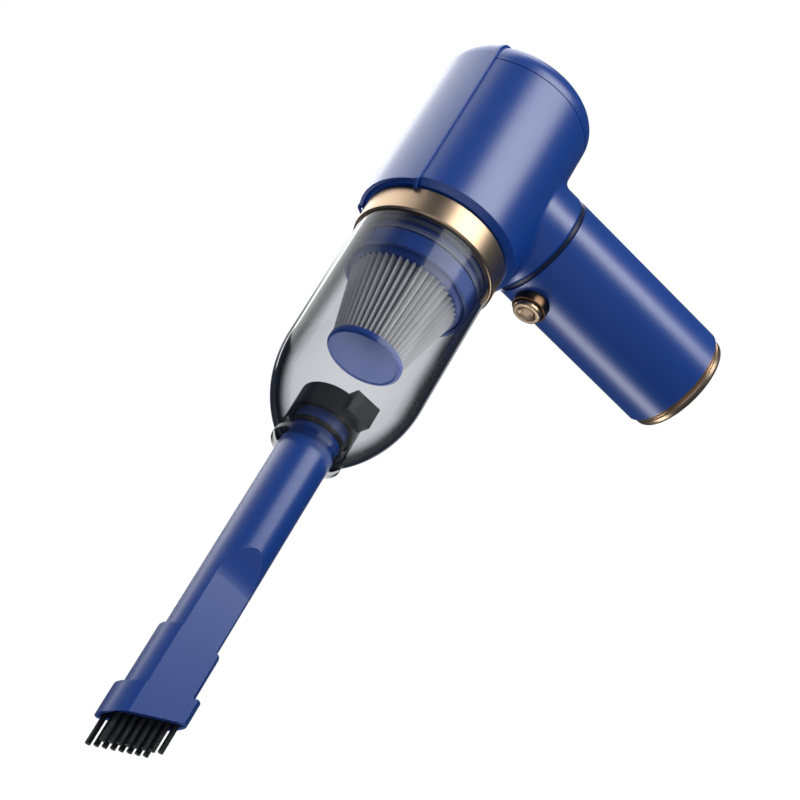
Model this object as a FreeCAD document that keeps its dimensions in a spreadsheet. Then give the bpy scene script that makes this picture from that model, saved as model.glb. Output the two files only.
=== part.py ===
import FreeCAD, Part
import math
import os

import Sketcher
from FreeCAD import Vector

# Cordless handheld vacuum cleaner, pistol shaped. Millimetres, +Z up.
# The handle stands on the origin along +Z. The barrel lies along X at axis_height,
# with the nozzle towards -X. Distances named *_front, *_back and *_start on the barrel
# are measured forwards (-X) from the handle's axis; head_seam and cap_face backwards.

SIZES = {
    # head
    "head_radius": 30.0,
    "head_wall": 2.0,
    "head_front": 32.0,
    "lip_chamfer": 2.1,
    "head_seam": 32.2,
    "seam_gap": 0.4,
    "cap_length": 11.5,
    "cap_round": 9.0,
    "cover_angle": 70.0,
    "cover_proud": 0.5,
    "cover_wall": 1.4,
    "fixed_gap": 0.1,
    "slot_width": 1.8,
    "slot_pitch": 4.2,
    "slot_reach": 15.0,
    "foam_depth": 4.0,
    "foam_margin": 3.0,
    # dock collar and lock ring
    "dock_inset": 2.5,
    "dock_wall": 2.0,
    "moving_gap": 0.4,
    "ring_proud": 1.0,
    "ring_length": 11.0,
    "ring_edge": 0.6,
    # fan and motor
    "grille_thick": 1.8,
    "grille_inset": 3.0,
    "grille_hole": 1.9,
    "grille_screw_inset": 4.5,
    "screw_shank": 1.2,
    "screw_cap": 2.2,
    "screw_cap_height": 1.2,
    "shroud_wall": 1.5,
    "shroud_eye": 12.0,
    "shroud_depth": 16.5,
    "impeller_gap": 1.5,
    "impeller_radius": 22.0,
    "impeller_depth": 9.0,
    "impeller_plate": 1.4,
    "blade_thick": 1.2,
    "blade_root": 2.0,
    "blade_gap": 1.0,
    "hub_radius": 4.5,
    "shaft_radius": 1.6,
    "shaft_play": 0.03,
    "shaft_stub": 1.0,
    "bearing_radius": 4.5,
    "bearing_width": 4.0,
    "motor_start": 11.0,
    "motor_length": 30.0,
    "motor_radius": 17.0,
    "motor_wall": 1.5,
    "winding_gap": 0.5,
    "stator_bore": 9.5,
    "magnet_radius": 8.5,
    "mount_depth": 6.0,
    "mount_hole": 3.2,
    # neck and handle
    "handle_wall": 2.0,
    "neck_bottom": 80.3,
    "neck_drop": 4.9,
    "neck_fillet": 3.0,
    "neck_round": 1.4,
    "groove_height": 1.6,
    "groove_depth": 0.9,
    "base_band_top": 8.4,
    "base_band_split": 4.4,
    "base_step": 1.2,
    "base_round": 1.6,
    "base_lift": 0.5,
    "base_wall": 2.2,
    "plate_thick": 2.4,
    "plate_screw_reach": 13.0,
    # battery
    "cell_radius": 9.15,
    "cell_length": 63.0,
    "cell_gap": 0.5,
    "cell_play": 1.45,
    "holder_lift": 0.8,
    "holder_gap": 0.5,
    "holder_plate": 1.6,
    "spine_gap": 0.4,
    "spine_thick": 2.0,
    "spine_width": 9.0,
    "board_clear": 1.4,
    "board_width": 22.0,
    "board_thick": 1.6,
    "board_rise": 3.0,
    # button
    "button_height": 70.2,
    "button_radius": 5.5,
    "button_proud": 5.2,
    "button_length": 5.6,
    "button_travel": 1.2,
    "button_dish": 0.8,
    "button_step": 0.3,
    "button_dish_radius": 2.3,
    "button_step_radius": 3.0,
    "button_face_radius": 3.6,
    "button_edge": 0.7,
    "bezel_wall": 0.8,
    "bezel_proud": 3.0,
    "bezel_edge": 0.4,
    "bezel_sink": 0.6,
    "stem_radius": 1.6,
    "stem_play": 0.35,
    "stem_reach": 1.2,
    "switch_side": 7.0,
    "switch_depth": 5.0,
    "switch_gap": 0.6,
    "switch_floor": 0.4,
    "switch_board_wide": 3.0,
    "switch_board_tall": 7.0,
    # charging socket
    "socket_reach": 8.5,
    "socket_width": 9.2,
    "socket_height": 3.5,
    "socket_depth": 6.5,
    "socket_wall": 0.5,
    # dust cup
    "cup_radius": 26.5,
    "cup_wall": 2.0,
    "cup_straight": 97.0,
    "dome_radius": 47.0,
    "collar_radius": 12.3,
    "collar_front": 133.8,
    "collar_lip": 0.8,
    "collar_lip_length": 2.2,
    "collar_back": 121.5,
    "spigot_gap": 0.35,
    "seal_thick": 1.2,
    "seal_start": 0.6,
    "seal_width": 2.0,
    "gasket_gap": 0.3,
    # inlet duct
    "duct_back": 112.0,
    "block_length": 8.5,
    "block_overhang": 1.3,
    "block_clear": 0.95,
    "block_width": 11.0,
    "block_bottom": 9.0,
    "block_height": 10.4,
    # filter
    "filter_back": 45.4,
    "rim_back": 50.0,
    "rim_front": 57.0,
    "rim_wall": 1.6,
    "throat_inset": 5.0,
    "pleat_start": 58.5,
    "pleat_front": 87.6,
    "pleat_inset": 4.0,
    "pleat_margin": 0.6,
    "rim_shelf": 2.0,
    "pleat_narrow": 12.4,
    "pleat_wall": 3.0,
    "disc_radius": 14.2,
    "disc_front": 90.4,
    "disc_edge": 1.0,
    # crevice nozzle
    "nozzle_radius": 9.7,
    "nozzle_wall": 1.6,
    "nozzle_back": 120.0,
    "nozzle_edge": 0.6,
    "scoop_start": 178.5,
    "flat_start": 188.0,
    "flat_half": 6.5,
    "scoop_round": 30.0,
    "nozzle_tip": 231.0,
    "groove_start": 5.0,
    "groove_width": 2.4,
    "groove_sink": 0.8,
    "o_ring_play": 0.2,
    # brush
    "sleeve_back": 215.3,
    "sleeve_radius": 11.1,
    "sleeve_half": 7.8,
    "sleeve_stop": 0.4,
    "sleeve_play": 0.3,
    "brush_radius": 13.3,
    "brush_half": 9.8,
    "brush_back_top": 240.5,
    "brush_back_bottom": 231.0,
    "mouth_top": 252.6,
    "mouth_bottom": 239.6,
    "mouth_depth": 4.0,
    "mouth_half_width": 6.3,
    "mouth_half_height": 11.2,
    "air_half_height": 8.0,
    "air_half_width": 2.9,
    "air_corner": 1.5,
    "tuft_radius": 0.95,
    "tuft_pitch": 2.65,
    "tuft_row": 4.6,
    "tuft_proud": 10.6,
    "tuft_root": 1.5,
}
TUFTS_PER_ROW = 8
TUFT_STAGGER = 0.0
DEFLECTOR_GAP = 0.05
BLADES = 9
MOUNT_HOLES = 6
GRILLE_SCREWS = 3
GRILLE_RINGS = ((6.5, 8), (12.0, 14))  # radius of each ring of holes, and how many
SLOTS_EACH_SIDE = 3
BOARD_PARTS = (  # name, length, width, height, x, y
    ("board_coil", 9, 9, 5, -8, 0),
    ("board_chip", 7, 7, 1.4, 6, 4),
    ("board_plug", 6, 5, 4, 10, -6),
)
COVER_SIDE_GAP = 0.5  # degrees
BEYOND = 5  # how far a cutting outline runs past what it cuts


class Dim:
    """A size that carries its number and the expression that gives it."""

    def __init__(self, value, text):
        self.value = value
        self.text = text

    def __add__(self, other):
        return Dim(self.value + dim(other).value, f"({self.text} + {dim(other).text})")

    def __sub__(self, other):
        return Dim(self.value - dim(other).value, f"({self.text} - {dim(other).text})")

    def __mul__(self, other):
        return Dim(self.value * dim(other).value, f"({self.text} * {dim(other).text})")

    def __truediv__(self, other):
        return Dim(self.value / dim(other).value, f"({self.text} / {dim(other).text})")

    def __neg__(self):
        return Dim(-self.value, f"(0 - {self.text})")

    def root(self):
        return Dim(math.sqrt(self.value), f"sqrt({self.text})")


def dim(number):
    return number if isinstance(number, Dim) else Dim(float(number), f"{number}")


class Arc:
    """The arc of a circle that reaches (x, y); turn is +1 anticlockwise and -1 clockwise."""

    def __init__(self, x, y, radius, turn):
        self.end = (dim(x), dim(y))
        self.radius = dim(radius)
        self.turn = turn


doc = FreeCAD.newDocument("handheld_vacuum")
sheet = doc.addObject("Spreadsheet::Sheet", "Sizes")
for row, (alias, number) in enumerate(SIZES.items(), start=1):
    sheet.set(f"A{row}", alias)
    sheet.set(f"B{row}", f"{number}")
    sheet.setAlias(f"B{row}", alias)
doc.recompute()


class Sheet:
    def __getattr__(self, name):
        return Dim(SIZES[name], f"Sizes.{name}")


s = Sheet()
subparts = []

# What several pieces share. The handle is as wide as two cells side by side need, and the
# lock ring, the dock and the filter follow the dust cup.
axis_height = s.neck_bottom + s.neck_drop + s.head_radius
handle_bore = s.cell_radius * 2 + s.cell_gap / 2 + s.cell_play
handle_radius = handle_bore + s.handle_wall
ring_radius = s.cup_radius + s.ring_proud
dock_radius = s.cup_radius - s.dock_inset


def bind(thing, name, size):
    """Set a property, and tie it to the sheet."""
    thing.setExpression(name, dim(size).text)


def keep(thing, x=0, y=0, z=0):
    """Name a finished sub-part and place it."""
    for letter, size in (("x", x), ("y", y), ("z", z)):
        if isinstance(size, Dim):
            bind(thing, f"Placement.Base.{letter}", size)
    subparts.append(thing)
    return thing


# ---- sketches and features ----


def new_body(name):
    body = doc.addObject("PartDesign::Body", name)
    body.Label = name
    return body


def new_sketch(body, role, offset=None):
    sketch = body.newObject("Sketcher::SketchObject", f"{body.Name}_sketch")
    plane = [item for item in body.Origin.OriginFeatures if item.Role == role][0]
    sketch.AttachmentSupport = [(plane, "")]
    sketch.MapMode = "FlatFace"
    if offset is not None:
        bind(sketch, "AttachmentOffset.Base.z", offset)
    return sketch


def draw(sketch, points):
    """Draw one closed outline. Each corner, and each arc's radius, is tied to the sheet."""
    ends = [p.end if isinstance(p, Arc) else (dim(p[0]), dim(p[1])) for p in points]
    first = sketch.GeometryCount
    starts = []
    for place, point in enumerate(points):
        before = ends[place - 1]
        after = ends[place]
        a = Vector(before[0].value, before[1].value, 0)
        b = Vector(after[0].value, after[1].value, 0)
        if isinstance(point, Arc):
            chord = b - a
            rise = math.sqrt(max(point.radius.value**2 - chord.Length**2 / 4, 0.0))
            side = Vector(-chord.y, chord.x, 0).normalize() * (rise * point.turn)
            centre = (a + b) / 2 + side
            circle = Part.Circle(centre, Vector(0, 0, 1), point.radius.value)
            low, high = (a, b) if point.turn > 0 else (b, a)
            angle_low = math.atan2(low.y - centre.y, low.x - centre.x)
            angle_high = math.atan2(high.y - centre.y, high.x - centre.x)
            if angle_high < angle_low:
                angle_high += 2 * math.pi
            sketch.addGeometry(Part.ArcOfCircle(circle, angle_low, angle_high), False)
            starts.append(1 if point.turn > 0 else 2)
        else:
            sketch.addGeometry(Part.LineSegment(a, b), False)
            starts.append(1)
    count = len(points)
    for place in range(count):
        following = (place + 1) % count
        near = 3 - starts[place]
        sketch.addConstraint(
            Sketcher.Constraint("Coincident", first + place, near, first + following, starts[following])
        )
    for place in range(count):
        x, y = ends[place]
        near = 3 - starts[place]
        for kind, size in (("DistanceX", x), ("DistanceY", y)):
            index = sketch.addConstraint(Sketcher.Constraint(kind, first + place, near, size.value))
            bind(sketch, f"Constraints[{index}]", size)
        if isinstance(points[place], Arc):
            radius = points[place].radius
            index = sketch.addConstraint(Sketcher.Constraint("Radius", first + place, radius.value))
            bind(sketch, f"Constraints[{index}]", radius)


def draw_circle(sketch, x, y, radius):
    x, y, radius = dim(x), dim(y), dim(radius)
    circle = Part.Circle(Vector(x.value, y.value, 0), Vector(0, 0, 1), radius.value)
    place = sketch.addGeometry(circle, False)
    for kind, size in (("DistanceX", x), ("DistanceY", y)):
        index = sketch.addConstraint(Sketcher.Constraint(kind, place, 3, size.value))
        bind(sketch, f"Constraints[{index}]", size)
    index = sketch.addConstraint(Sketcher.Constraint("Radius", place, radius.value))
    bind(sketch, f"Constraints[{index}]", radius)


def spin(body, points, axis="H_Axis", cut=False, angle=None):
    """Turn an outline about the sketch's axis, all round or by a sector centred on +Z."""
    sketch = new_sketch(body, "XZ_Plane")
    draw(sketch, points)
    kind = "PartDesign::Groove" if cut else "PartDesign::Revolution"
    feature = body.newObject(kind, f"{body.Name}_turn")
    feature.Profile = sketch
    feature.ReferenceAxis = (sketch, [axis])
    feature.Angle = 360
    if angle is not None:
        feature.Midplane = True
        bind(feature, "Angle", angle)
    doc.recompute()
    return feature


def push(body, role, outline, length, offset=None, cut=False, both=False, flip=False):
    """Pad or pocket what outline(sketch) draws."""
    before = body.Tip.Shape.Volume if cut else 0.0
    sketch = new_sketch(body, role, offset)
    outline(sketch)
    kind = "PartDesign::Pocket" if cut else "PartDesign::Pad"
    feature = body.newObject(kind, f"{body.Name}_push")
    feature.Profile = sketch
    feature.Reversed = flip
    if both:
        feature.SideType = "Symmetric"
    bind(feature, "Length", length)
    doc.recompute()
    if cut and feature.Shape.Volume > before - 0.01:
        raise RuntimeError(f"{feature.Name} removes nothing")
    return feature


def fillet_where(body, radius, wanted):
    """Round every edge of the body whose middle is wanted."""
    base = body.Tip
    names = []
    for place, edge in enumerate(base.Shape.Edges, start=1):
        middle = edge.valueAt((edge.FirstParameter + edge.LastParameter) / 2)
        if wanted(middle):
            names.append(f"Edge{place}")
    fillet = body.newObject("PartDesign::Fillet", f"{body.Name}_fillet")
    fillet.Base = (base, names)
    bind(fillet, "Radius", radius)
    doc.recompute()


def turned(name, points, axis="H_Axis", on_barrel=True):
    """A plain turned piece on the barrel's axis, or on the handle's."""
    body = new_body(name)
    spin(body, points, axis)
    return keep(body, z=axis_height if on_barrel else 0)


def ring(back, front, inner, outer):
    """Outline of a plain ring on the barrel, between two distances forward of the handle."""
    return [(-back, inner), (-back, outer), (-front, outer), (-front, inner)]


def rectangle(low_x, low_y, high_x, high_y):
    return [(high_x, low_y), (high_x, high_y), (low_x, high_y), (low_x, low_y)]


def rounded(half_x, half_y, radius):
    """A rectangle with round corners, centred on the sketch's origin."""
    x, y, r = dim(half_x), dim(half_y), dim(radius)
    return [
        (x, y - r),
        Arc(x - r, y, r, 1),
        (r - x, y),
        Arc(-x, y - r, r, 1),
        (-x, r - y),
        Arc(r - x, -y, r, 1),
        (x - r, -y),
        Arc(x, r - y, r, 1),
    ]


def flatted(radius, half):
    """A circle with two flats, centred on the sketch's origin, flats at x = half and -half."""
    radius, half = dim(radius), dim(half)
    tall = (radius * radius - half * half).root()
    return [(half, tall), Arc(-half, tall, radius, 1), (-half, -tall), Arc(half, -tall, radius, 1)]


def cylinder(name, radius, length, x=0, y=0, z=0, along="Z"):
    thing = doc.addObject("Part::Cylinder", name)
    bind(thing, "Radius", radius)
    bind(thing, "Height", length)
    turn = {"Z": FreeCAD.Rotation(), "X": FreeCAD.Rotation(Vector(0, 1, 0), 90)}[along]
    thing.Placement = FreeCAD.Placement(Vector(0, 0, 0), turn)
    for letter, size in (("x", x), ("y", y), ("z", z)):
        bind(thing, f"Placement.Base.{letter}", size)
    return thing


def block(name, length, width, height, x=0, y=0, z=0):
    """A box centred on x and y, with its underside at z."""
    thing = doc.addObject("Part::Box", name)
    bind(thing, "Length", length)
    bind(thing, "Width", width)
    bind(thing, "Height", height)
    bind(thing, "Placement.Base.x", dim(x) - dim(length) / 2)
    bind(thing, "Placement.Base.y", dim(y) - dim(width) / 2)
    bind(thing, "Placement.Base.z", z)
    return thing


def cut_from(name, base, tool):
    thing = doc.addObject("Part::Cut", name)
    thing.Base = base
    thing.Tool = tool
    thing.Label = name
    return thing


def fused(name, pieces):
    thing = doc.addObject("Part::MultiFuse", name)
    thing.Shapes = pieces
    thing.Label = name
    return thing


def grouped(name, pieces):
    thing = doc.addObject("Part::Compound", name)
    thing.Links = pieces
    thing.Label = name
    return thing


# ---- head ----

head_bore = s.head_radius - s.head_wall
cap_face = s.head_seam + s.cap_length
cover_outside = s.head_radius + s.cover_proud
cover_inside = cover_outside - s.cover_wall
dock_front = s.head_front + s.moving_gap + s.ring_length
dock_bore = dock_radius - s.dock_wall
bulkhead_back = s.head_front - s.head_wall


def cover_recess(body):
    """The shallow seat that the top cover lies in, cut over the head and the rear cap."""
    inside = cover_inside - s.fixed_gap
    round_inside = s.cap_round + s.cover_proud - s.cover_wall - s.fixed_gap
    face_inside = cap_face + s.cover_proud - s.cover_wall - s.fixed_gap
    far = cover_outside + BEYOND
    points = [
        (-s.head_front - BEYOND, far),
        (-s.head_front - BEYOND, inside),
        (cap_face - s.cap_round, inside),
        Arc(face_inside, s.head_radius - s.cap_round, round_inside, -1),
        (face_inside, s.head_radius - s.cap_round - s.cover_wall - s.fixed_gap),
        (cap_face + BEYOND, s.head_radius - s.cap_round - s.cover_wall - s.fixed_gap),
        (cap_face + BEYOND, far),
    ]
    spin(body, points, cut=True, angle=s.cover_angle + COVER_SIDE_GAP)


def neck_joint(point):
    """True on the curve where the neck runs into the barrel."""
    barrel = math.hypot(point.y, point.z)
    neck = math.hypot(point.x, point.y)
    return (abs(barrel - SIZES["head_radius"]) < 0.05 and abs(neck - handle_radius.value) < 0.05
            and point.z < 0)


def make_head_shell():
    body = new_body("head_shell")
    outside = [
        (s.head_seam, 0),
        (s.head_seam, s.head_radius),
        (s.lip_chamfer - s.head_front, s.head_radius),
        (-s.head_front, s.head_radius - s.lip_chamfer),
        (-s.head_front, dock_radius),
        (-dock_front, dock_radius),
        (-dock_front, 0),
    ]
    spin(body, outside)
    neck = [
        (0, 0),
        (handle_radius, 0),
        (handle_radius, s.neck_bottom - axis_height + s.neck_round),
        Arc(handle_radius - s.neck_round, s.neck_bottom - axis_height, s.neck_round, -1),
        (0, s.neck_bottom - axis_height),
    ]
    spin(body, neck, axis="V_Axis")
    fillet_where(body, s.neck_fillet, neck_joint)
    hollow = [
        (s.head_seam + BEYOND, 0),
        (s.head_seam + BEYOND, head_bore),
        (-bulkhead_back, head_bore),
        (-bulkhead_back, dock_bore),
        (-dock_front - BEYOND, dock_bore),
        (-dock_front - BEYOND, 0),
    ]
    spin(body, hollow, cut=True)
    neck_bore = [
        (0, 0),
        (handle_bore, 0),
        (handle_bore, s.neck_bottom - axis_height - BEYOND),
        (0, s.neck_bottom - axis_height - BEYOND),
    ]
    spin(body, neck_bore, axis="V_Axis", cut=True)
    cover_recess(body)
    return keep(body, z=axis_height)


def make_top_cover():
    body = new_body("top_cover")
    front = s.head_front - s.lip_chamfer
    corner = s.cap_round + s.cover_proud
    points = [
        (-front, cover_inside),
        (-front, cover_outside),
        (cap_face - s.cap_round, cover_outside),
        Arc(cap_face + s.cover_proud, s.head_radius - s.cap_round, corner, -1),
        (cap_face + s.cover_proud, s.head_radius - s.cap_round - s.cover_wall),
        (cap_face + s.cover_proud - s.cover_wall, s.head_radius - s.cap_round - s.cover_wall),
        (cap_face + s.cover_proud - s.cover_wall, s.head_radius - s.cap_round),
        Arc(cap_face - s.cap_round, cover_inside, corner - s.cover_wall, 1),
    ]
    spin(body, points, angle=s.cover_angle)
    return keep(body, z=axis_height)


def make_rear_cap():
    body = new_body("rear_cap")
    start = s.head_seam + s.seam_gap
    points = [
        (start, head_bore),
        (start, s.head_radius),
        (cap_face - s.cap_round, s.head_radius),
        Arc(cap_face, s.head_radius - s.cap_round, s.cap_round, -1),
        (cap_face, 0),
        (cap_face - s.head_wall, 0),
        (cap_face - s.head_wall, s.head_radius - s.cap_round),
        Arc(cap_face - s.cap_round, head_bore, s.cap_round - s.head_wall, 1),
    ]
    spin(body, points)
    cover_recess(body)

    def slots(sketch):
        for place in range(-SLOTS_EACH_SIDE, SLOTS_EACH_SIDE + 1):
            low = s.slot_pitch * place - s.slot_width / 2
            reach = (s.slot_reach * s.slot_reach - s.slot_pitch * s.slot_pitch * place * place).root()
            draw(sketch, rectangle(-reach, low, reach, low + s.slot_width))

    push(body, "YZ_Plane", slots, s.head_wall + 1, offset=cap_face + 0.5, cut=True)
    return keep(body, z=axis_height)


# ---- fan and motor ----

shroud_front = bulkhead_back - s.fixed_gap
impeller_front = shroud_front - s.shroud_wall - s.impeller_gap
motor_back = s.motor_length - s.motor_start
grille_front = dock_front - s.grille_inset
grille_screw_circle = dock_bore - s.grille_screw_inset


def make_inlet_grille():
    body = new_body("inlet_grille")
    radius = dock_bore - s.fixed_gap
    spin(body, ring(grille_front - s.grille_thick, grille_front, dim(0), radius))

    def holes(sketch):
        for circle, count in GRILLE_RINGS:
            for place in range(count):
                angle = 2 * math.pi * place / count
                draw_circle(sketch, circle * math.cos(angle), circle * math.sin(angle), s.grille_hole)

    push(body, "YZ_Plane", holes, s.grille_thick + 2, offset=-grille_front - 1, cut=True, flip=True)
    return keep(body, z=axis_height)


def make_grille_screws():
    pieces = []
    for place in range(GRILLE_SCREWS):
        angle = math.pi / 2 + 2 * math.pi * place / GRILLE_SCREWS
        y = grille_screw_circle * math.cos(angle)
        z = axis_height + grille_screw_circle * math.sin(angle)
        cap = cylinder(f"grille_screw_cap_{place}", s.screw_cap, s.screw_cap_height,
                       x=-grille_front - s.screw_cap_height, y=y, z=z, along="X")
        pieces.append(cap)
    return keep(grouped("grille_screws", pieces))


def make_fan():
    turned("fan_shroud", [
        (-shroud_front, s.shroud_eye),
        (-shroud_front, head_bore - s.fixed_gap),
        (s.shroud_depth - shroud_front, head_bore - s.fixed_gap),
        (s.shroud_depth - shroud_front, head_bore - s.fixed_gap - s.shroud_wall),
        (s.shroud_wall - shroud_front, head_bore - s.fixed_gap - s.shroud_wall),
        (s.shroud_wall - shroud_front, s.shroud_eye),
    ])
    back = impeller_front - s.impeller_depth
    disc = cylinder("impeller_disc", s.impeller_radius, s.impeller_plate,
                    x=-back - s.impeller_plate, z=axis_height, along="X")
    hub = cylinder("impeller_hub", s.hub_radius, s.impeller_depth, x=-impeller_front,
                   z=axis_height, along="X")
    pieces = [disc, hub]
    for place in range(BLADES):
        blade = doc.addObject("Part::Box", f"impeller_blade_{place}")
        bind(blade, "Length", s.impeller_depth)
        bind(blade, "Width", s.blade_thick)
        bind(blade, "Height", s.impeller_radius - s.blade_root - s.blade_gap)
        turn = FreeCAD.Rotation(Vector(1, 0, 0), 360.0 * place / BLADES)
        out = turn.multVec(Vector(0, 0, 1))
        blade.Placement = FreeCAD.Placement(Vector(0, 0, 0), turn)
        bind(blade, "Placement.Base.x", -impeller_front)
        bind(blade, "Placement.Base.y", s.blade_root * round(out.y, 6))
        bind(blade, "Placement.Base.z", axis_height + s.blade_root * round(out.z, 6))
        pieces.append(blade)
    body = fused("impeller_solid", pieces)
    bore = cylinder("impeller_bore", s.shaft_radius, s.impeller_depth + 2,
                    x=-impeller_front - 1, z=axis_height, along="X")
    keep(cut_from("impeller", body, bore))


def make_motor():
    wall = s.motor_wall
    front = s.motor_start
    back = motor_back
    seat = s.bearing_radius
    turned("motor_can", [
        (-front, seat),
        (-front, s.motor_radius),
        (back, s.motor_radius),
        (back, seat),
        (back - wall, seat),
        (back - wall, s.motor_radius - wall),
        (wall - front, s.motor_radius - wall),
        (wall - front, seat),
    ])
    inner = s.shaft_radius + s.shaft_play
    for name, start in (("front_bearing", -front), ("rear_bearing", back - s.bearing_width)):
        turned(name, [
            (start, inner),
            (start, seat),
            (start + s.bearing_width, seat),
            (start + s.bearing_width, inner),
        ])
    gap = wall + s.bearing_width + s.winding_gap
    turned("stator", [
        (gap - front, s.stator_bore),
        (gap - front, s.motor_radius - wall),
        (back - gap, s.motor_radius - wall),
        (back - gap, s.stator_bore),
    ])
    turned("rotor_magnet", [
        (gap - front + s.winding_gap, s.shaft_radius),
        (gap - front + s.winding_gap, s.magnet_radius),
        (back - gap - s.winding_gap, s.magnet_radius),
        (back - gap - s.winding_gap, s.shaft_radius),
    ])
    turned("motor_shaft", [
        (s.shaft_stub - impeller_front, 0),
        (s.shaft_stub - impeller_front, s.shaft_radius),
        (back + s.shaft_stub, s.shaft_radius),
        (back + s.shaft_stub, 0),
    ])


def make_motor_mount():
    body = new_body("motor_mount")
    inner = s.motor_radius
    outer = head_bore - s.fixed_gap
    spin(body, [(0, inner), (0, outer), (s.mount_depth, outer), (s.mount_depth, inner)])
    middle = (inner + outer) / 2

    def hole(sketch):
        draw_circle(sketch, 0, middle, s.mount_hole)

    pocket = push(body, "YZ_Plane", hole, s.mount_depth + 2, offset=s.mount_depth + 1, cut=True)
    pattern = body.newObject("PartDesign::PolarPattern", "motor_mount_holes")
    pattern.Originals = [pocket]
    axis = [item for item in body.Origin.OriginFeatures if item.Role == "X_Axis"][0]
    pattern.Axis = (axis, [""])
    pattern.Angle = 360
    pattern.Occurrences = MOUNT_HOLES
    body.Tip = pattern
    doc.recompute()
    return keep(body, z=axis_height)


def make_exhaust_foam():
    radius = s.slot_reach + s.foam_margin
    back = cap_face - s.head_wall
    turned("exhaust_foam", [
        (back - s.foam_depth, 0),
        (back - s.foam_depth, radius),
        (back, radius),
        (back, 0),
    ])


# ---- handle ----

handle_top = s.neck_bottom - s.groove_height
bezel_outside = s.button_radius + s.moving_gap + s.bezel_wall
holder_bottom = s.base_band_top + s.holder_lift
plate_radius = handle_radius - s.base_step - s.base_wall


def make_handle_shell():
    body = new_body("handle_shell")
    tube = [
        (handle_bore, s.base_band_top),
        (handle_radius, s.base_band_top),
        (handle_radius, handle_top),
        (handle_bore, handle_top),
    ]
    spin(body, tube, axis="V_Axis")

    def hole(sketch):
        draw_circle(sketch, 0, s.button_height, bezel_outside + s.fixed_gap)

    push(body, "YZ_Plane", hole, handle_radius, cut=True)
    return keep(body, z=dim(0))


def make_handle_rings():
    turned("neck_ring", [
        (handle_bore - 1, handle_top),
        (handle_radius - s.groove_depth, handle_top),
        (handle_radius - s.groove_depth, s.neck_bottom),
        (handle_bore - 1, s.neck_bottom),
    ], axis="V_Axis", on_barrel=False)
    step = handle_radius - s.base_step
    bore = plate_radius + s.fixed_gap
    turned("base_ring", [
        (bore, s.base_lift),
        (step - s.base_round, s.base_lift),
        Arc(step, s.base_lift + s.base_round, s.base_round, 1),
        (step, s.base_band_split),
        (handle_radius, s.base_band_split),
        (handle_radius, s.base_band_top),
        (bore, s.base_band_top),
    ], axis="V_Axis", on_barrel=False)


def make_base_plate():
    body = new_body("base_plate")
    spin(body, [(0, 0), (plate_radius, 0), (plate_radius, s.plate_thick), (0, s.plate_thick)],
         axis="V_Axis")

    def socket_slot(sketch):
        x = s.socket_height / 2 + s.fixed_gap
        y = s.socket_width / 2 + s.fixed_gap
        draw(sketch, rectangle(s.socket_reach - x, -y, s.socket_reach + x, y))

    def screw_holes(sketch):
        for side in (-1, 1):
            draw_circle(sketch, 0, s.plate_screw_reach * side, s.screw_shank + s.fixed_gap)

    def screw_seats(sketch):
        for side in (-1, 1):
            draw_circle(sketch, 0, s.plate_screw_reach * side, s.screw_cap + s.fixed_gap)

    push(body, "XY_Plane", socket_slot, s.plate_thick, cut=True, flip=True)
    push(body, "XY_Plane", screw_holes, s.plate_thick, cut=True, flip=True)
    push(body, "XY_Plane", screw_seats, s.screw_cap_height + s.fixed_gap, cut=True, flip=True)
    return keep(body, z=dim(0))


def make_base_screws():
    pieces = []
    for side in (-1, 1):
        y = s.plate_screw_reach * side
        cap = cylinder(f"base_screw_cap_{side + 1}", s.screw_cap, s.screw_cap_height,
                       y=y, z=s.fixed_gap)
        shank = cylinder(f"base_screw_shank_{side + 1}", s.screw_shank,
                         holder_bottom + s.holder_plate / 2, y=y, z=s.fixed_gap)
        pieces.append(fused(f"base_screw_{side + 1}", [cap, shank]))
    return keep(grouped("base_screws", pieces))


def make_battery():
    reach = s.cell_radius + s.cell_gap / 2
    low = holder_bottom + s.holder_plate
    cells = []
    for side in (-1, 1):
        cells.append(cylinder(f"battery_cell_{side + 1}", s.cell_radius, s.cell_length,
                              y=reach * side, z=low))
    keep(grouped("battery_cells", cells))
    body = new_body("battery_holder")
    plate = handle_bore - s.holder_gap
    spin(body, [(0, holder_bottom), (plate, holder_bottom), (plate, low), (0, low)], axis="V_Axis")
    x = s.cell_radius + s.spine_gap

    def spine(sketch):
        draw(sketch, rectangle(x, -s.spine_width / 2, x + s.spine_thick, s.spine_width / 2))

    def screw_holes(sketch):
        for side in (-1, 1):
            draw_circle(sketch, 0, s.plate_screw_reach * side, s.screw_shank + s.fixed_gap)

    push(body, "XY_Plane", spine, s.cell_length + s.holder_plate, offset=holder_bottom)
    push(body, "XY_Plane", screw_holes, s.holder_plate + 2, offset=low + 1, cut=True)
    return keep(body, z=dim(0))


def make_boards():
    low = s.neck_bottom + s.board_rise
    reach = handle_bore - s.board_clear
    board_length = (reach * reach - s.board_width * s.board_width / 4).root() * 2
    board = block("control_board", board_length, s.board_width, s.board_thick, z=low)
    keep(board)
    top = low + s.board_thick
    parts = []
    for name, length, width, height, x, y in BOARD_PARTS:
        parts.append(block(name, length, width, height, x=x, y=y, z=top))
    keep(grouped("board_parts", parts))


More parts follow.
